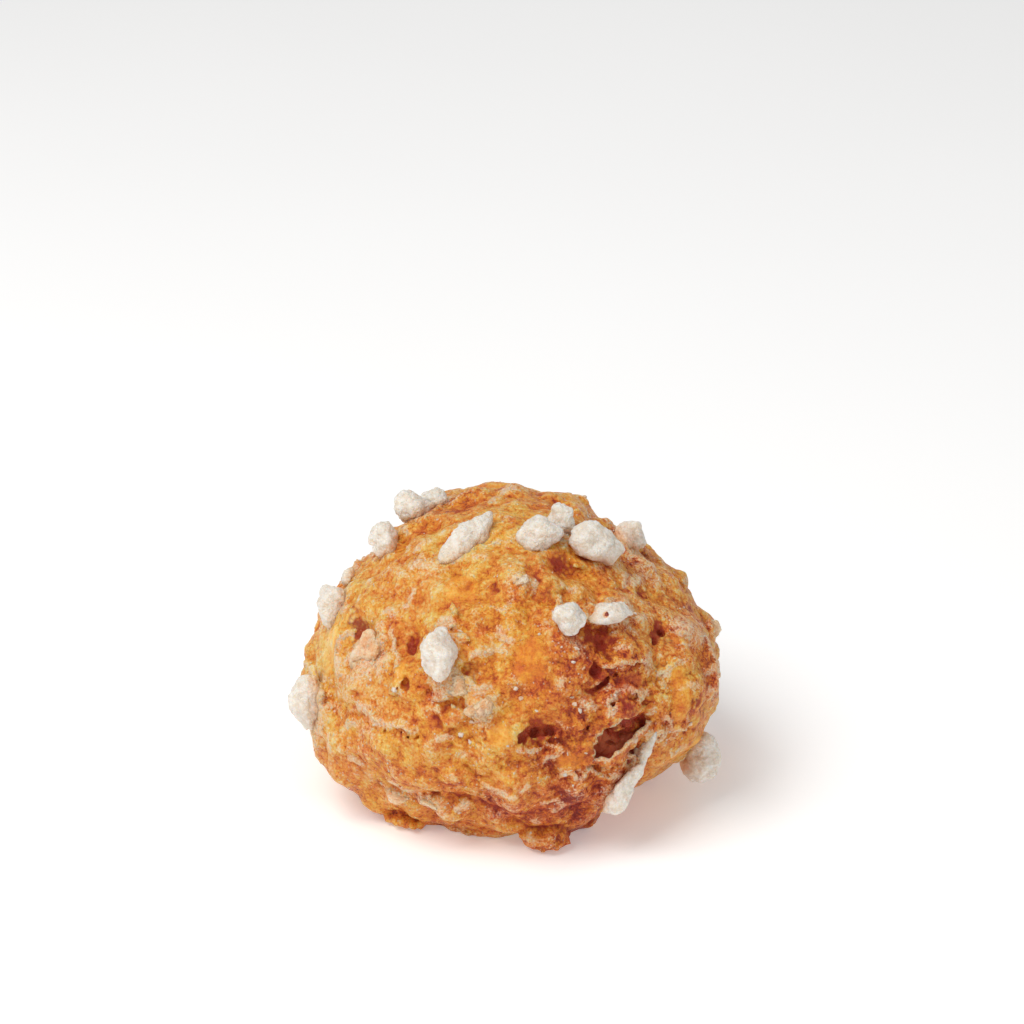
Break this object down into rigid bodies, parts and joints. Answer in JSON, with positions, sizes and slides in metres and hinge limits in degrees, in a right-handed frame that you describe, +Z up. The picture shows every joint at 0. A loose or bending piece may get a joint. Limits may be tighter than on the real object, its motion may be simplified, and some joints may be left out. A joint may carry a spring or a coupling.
{
  "type": "sugar choux puff",
  "caption": "Small round choux bun with a craggy golden crust, a torn pocket low at the front and pearl sugar baked on, resting on a flat base.",
  "frame": {"origin": "middle of the flat base, on the surface the bun rests on", "axes": "+Z up from the base to the crown; -Y towards the front, where the torn pocket is; +X to the right as seen from the front"},
  "size_m": [0.0465, 0.0462, 0.0341],
  "materials": {
    "crust": "baked choux crust: golden to orange-brown, rough and crumbly, faintly translucent, with pale sugary bloom on its ridges",
    "pearl_sugar": "opaque white pearl sugar, fine-grained and slightly translucent at its edges"
  },
  "bodies": {
    "root": {"choux_puff": "crust"}
  },
  "joints": []
}
